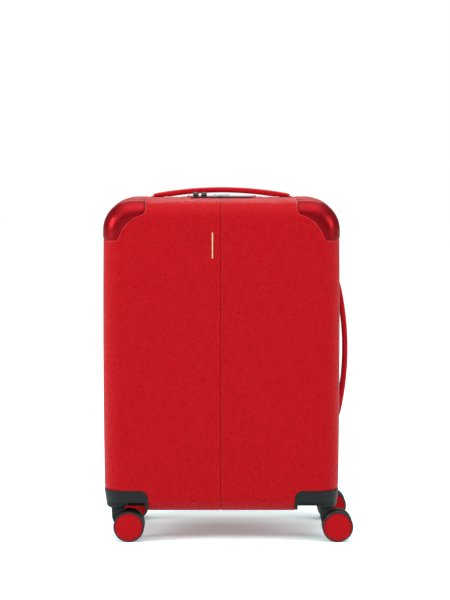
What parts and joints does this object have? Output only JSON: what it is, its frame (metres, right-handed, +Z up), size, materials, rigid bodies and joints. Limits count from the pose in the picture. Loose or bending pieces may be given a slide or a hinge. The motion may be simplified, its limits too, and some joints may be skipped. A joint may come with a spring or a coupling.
{
  "type": "hard shell suitcase on wheels",
  "caption": "Upright hard shell cabin case in red leather with glossy corner caps, arched carry handles, telescopic trolley and twin-wheel spinner casters; opens like a book at a zip.",
  "frame": {"origin": "on the floor, under the middle of the case, in the plane of the zip", "axes": "+Z up, -Y out of the front face, +X towards the side handle"},
  "size_m": [0.3917, 0.2314, 0.5499],
  "materials": {
    "shell_plastic": "moulded",
    "red_leather": "pebbled grain",
    "handle_leather": "fine grain, stitched edges",
    "cap_gloss_red": "gloss metallic",
    "housing_black": "fine moulded texture",
    "lining_fabric": "woven",
    "zip_fabric": "woven tape with coil",
    "tube_aluminium": "satin anodised",
    "grip_red": "fine grain",
    "button_steel": "brushed",
    "lock_gunmetal": "dark satin",
    "dial_steel": "brushed",
    "zip_gunmetal": "dark gloss",
    "fork_black": "fine moulded texture",
    "axle_steel": "satin",
    "wheel_red": "stitched disc face",
    "tyre_black": "smooth rubber"
  },
  "bodies": {
    "case_rear": {"rear_shell": "shell_plastic", "rear_leather": "red_leather", "rear_cap_left": "cap_gloss_red", "rear_cap_right": "cap_gloss_red", "rear_housing_left": "housing_black", "rear_housing_right": "housing_black", "rear_lining": "lining_fabric", "rear_zip_tape": "zip_fabric", "hinge_tape": "lining_fabric", "handle_brackets": "housing_black", "trolley_bezel": "housing_black", "trolley_guide_tubes": "tube_aluminium", "trolley_foot": "housing_black"},
    "case_front": {"front_shell": "shell_plastic", "front_leather": "red_leather", "front_cap_left": "cap_gloss_red", "front_cap_right": "cap_gloss_red", "front_housing_left": "housing_black", "front_housing_right": "housing_black", "front_lining": "lining_fabric", "front_zip_tape": "zip_fabric", "lock_case": "lock_gunmetal"},
    "top_handle": {"top_handle": "handle_leather"},
    "side_handle": {"side_handle": "handle_leather"},
    "trolley_stage_1": {"trolley_middle_tubes": "tube_aluminium"},
    "trolley_stage_2": {"trolley_inner_tubes": "tube_aluminium", "trolley_grip": "grip_red"},
    "trolley_button": {"trolley_button": "button_steel"},
    "dial_1": {"dial_1": "dial_steel"},
    "dial_2": {"dial_2": "dial_steel"},
    "dial_3": {"dial_3": "dial_steel"},
    "lock_button": {"lock_button": "button_steel"},
    "zip_slider_left": {"zip_slider_left": "zip_gunmetal"},
    "zip_slider_right": {"zip_slider_right": "zip_gunmetal"},
    "zip_pull_left": {"zip_pull_left": "zip_gunmetal"},
    "zip_pull_right": {"zip_pull_right": "zip_gunmetal"},
    "front_left_caster": {"front_left_fork": "fork_black", "front_left_axle": "axle_steel"},
    "front_left_wheel_a": {"front_left_wheel_a": "wheel_red", "front_left_tyre_a": "tyre_black"},
    "front_left_wheel_b": {"front_left_wheel_b": "wheel_red", "front_left_tyre_b": "tyre_black"},
    "front_right_caster": {"front_right_fork": "fork_black", "front_right_axle": "axle_steel"},
    "front_right_wheel_a": {"front_right_wheel_a": "wheel_red", "front_right_tyre_a": "tyre_black"},
    "front_right_wheel_b": {"front_right_wheel_b": "wheel_red", "front_right_tyre_b": "tyre_black"},
    "rear_left_caster": {"rear_left_fork": "fork_black", "rear_left_axle": "axle_steel"},
    "rear_left_wheel_a": {"rear_left_wheel_a": "wheel_red", "rear_left_tyre_a": "tyre_black"},
    "rear_left_wheel_b": {"rear_left_wheel_b": "wheel_red", "rear_left_tyre_b": "tyre_black"},
    "rear_right_caster": {"rear_right_fork": "fork_black", "rear_right_axle": "axle_steel"},
    "rear_right_wheel_a": {"rear_right_wheel_a": "wheel_red", "rear_right_tyre_a": "tyre_black"},
    "rear_right_wheel_b": {"rear_right_wheel_b": "wheel_red", "rear_right_tyre_b": "tyre_black"}
  },
  "joints": [
    {"name": "lid_hinge", "type": "hinge", "parent": "case_rear", "child": "case_front", "pos_m": [-0.1885, 0, 0.29], "axis": [0, 0, -1], "range_deg": [0, 150]},
    {"name": "top_handle_lift", "type": "slide", "parent": "case_rear", "child": "top_handle", "axis": [0, 0, 1], "range_m": [0, 0.009]},
    {"name": "side_handle_lift", "type": "slide", "parent": "case_rear", "child": "side_handle", "axis": [1, 0, 0], "range_m": [0, 0.009]},
    {"name": "trolley_slide_1", "type": "slide", "parent": "case_rear", "child": "trolley_stage_1", "axis": [0, 0, 1], "range_m": [0, 0.215]},
    {"name": "trolley_slide_2", "type": "slide", "parent": "trolley_stage_1", "child": "trolley_stage_2", "axis": [0, 0, 1], "range_m": [0, 0.215]},
    {"name": "trolley_button_press", "type": "slide", "parent": "trolley_stage_2", "child": "trolley_button", "axis": [0, 0, -1], "range_m": [0, 0.003], "stiffness_N_per_m": 600},
    {"name": "lock_release", "type": "slide", "parent": "case_front", "child": "lock_button", "axis": [-1, 0, 0], "range_m": [0, 0.005], "stiffness_N_per_m": 300},
    {"name": "zip_slide_left", "type": "slide", "parent": "case_rear", "child": "zip_slider_left", "axis": [-1, 0, 0], "range_m": [0, 0.09]},
    {"name": "zip_slide_right", "type": "slide", "parent": "case_rear", "child": "zip_slider_right", "axis": [1, 0, 0], "range_m": [0, 0.16]},
    {"name": "zip_pull_left_swing", "type": "hinge", "parent": "zip_slider_left", "child": "zip_pull_left", "pos_m": [-0.041, -0.0035, 0.5412], "axis": [-1, 0, 0], "range_deg": [0, 110]},
    {"name": "zip_pull_right_swing", "type": "hinge", "parent": "zip_slider_right", "child": "zip_pull_right", "pos_m": [-0.028, -0.0035, 0.5412], "axis": [-1, 0, 0], "range_deg": [0, 110]},
    {"name": "dial_1_turn", "type": "hinge", "parent": "case_front", "child": "dial_1", "pos_m": [0.016, -0.021, 0.53225], "axis": [1, 0, 0], "continuous": true},
    {"name": "dial_2_turn", "type": "hinge", "parent": "case_front", "child": "dial_2", "pos_m": [0.025, -0.021, 0.53225], "axis": [1, 0, 0], "continuous": true},
    {"name": "dial_3_turn", "type": "hinge", "parent": "case_front", "child": "dial_3", "pos_m": [0.034, -0.021, 0.53225], "axis": [1, 0, 0], "continuous": true},
    {"name": "front_left_swivel", "type": "hinge", "parent": "case_front", "child": "front_left_caster", "pos_m": [-0.163, -0.09, 0.06], "axis": [0, 0, 1], "continuous": true},
    {"name": "front_left_roll_a", "type": "hinge", "parent": "front_left_caster", "child": "front_left_wheel_a", "pos_m": [-0.1446, -0.1025, 0.024], "axis": [0, 1, 0], "continuous": true},
    {"name": "front_left_roll_b", "type": "hinge", "parent": "front_left_caster", "child": "front_left_wheel_b", "pos_m": [-0.1446, -0.0775, 0.024], "axis": [0, 1, 0], "continuous": true},
    {"name": "front_right_swivel", "type": "hinge", "parent": "case_front", "child": "front_right_caster", "pos_m": [0.163, -0.09, 0.06], "axis": [0, 0, 1], "continuous": true},
    {"name": "front_right_roll_a", "type": "hinge", "parent": "front_right_caster", "child": "front_right_wheel_a", "pos_m": [0.1814, -0.1025, 0.024], "axis": [0, 1, 0], "continuous": true},
    {"name": "front_right_roll_b", "type": "hinge", "parent": "front_right_caster", "child": "front_right_wheel_b", "pos_m": [0.1814, -0.0775, 0.024], "axis": [0, 1, 0], "continuous": true},
    {"name": "rear_left_swivel", "type": "hinge", "parent": "case_rear", "child": "rear_left_caster", "pos_m": [-0.163, 0.09, 0.06], "axis": [0, 0, 1], "continuous": true},
    {"name": "rear_left_roll_a", "type": "hinge", "parent": "rear_left_caster", "child": "rear_left_wheel_a", "pos_m": [-0.1446, 0.0775, 0.024], "axis": [0, 1, 0], "continuous": true},
    {"name": "rear_left_roll_b", "type": "hinge", "parent": "rear_left_caster", "child": "rear_left_wheel_b", "pos_m": [-0.1446, 0.1025, 0.024], "axis": [0, 1, 0], "continuous": true},
    {"name": "rear_right_swivel", "type": "hinge", "parent": "case_rear", "child": "rear_right_caster", "pos_m": [0.163, 0.09, 0.06], "axis": [0, 0, 1], "continuous": true},
    {"name": "rear_right_roll_a", "type": "hinge", "parent": "rear_right_caster", "child": "rear_right_wheel_a", "pos_m": [0.1814, 0.0775, 0.024], "axis": [0, 1, 0], "continuous": true},
    {"name": "rear_right_roll_b", "type": "hinge", "parent": "rear_right_caster", "child": "rear_right_wheel_b", "pos_m": [0.1814, 0.1025, 0.024], "axis": [0, 1, 0], "continuous": true}
  ]
}
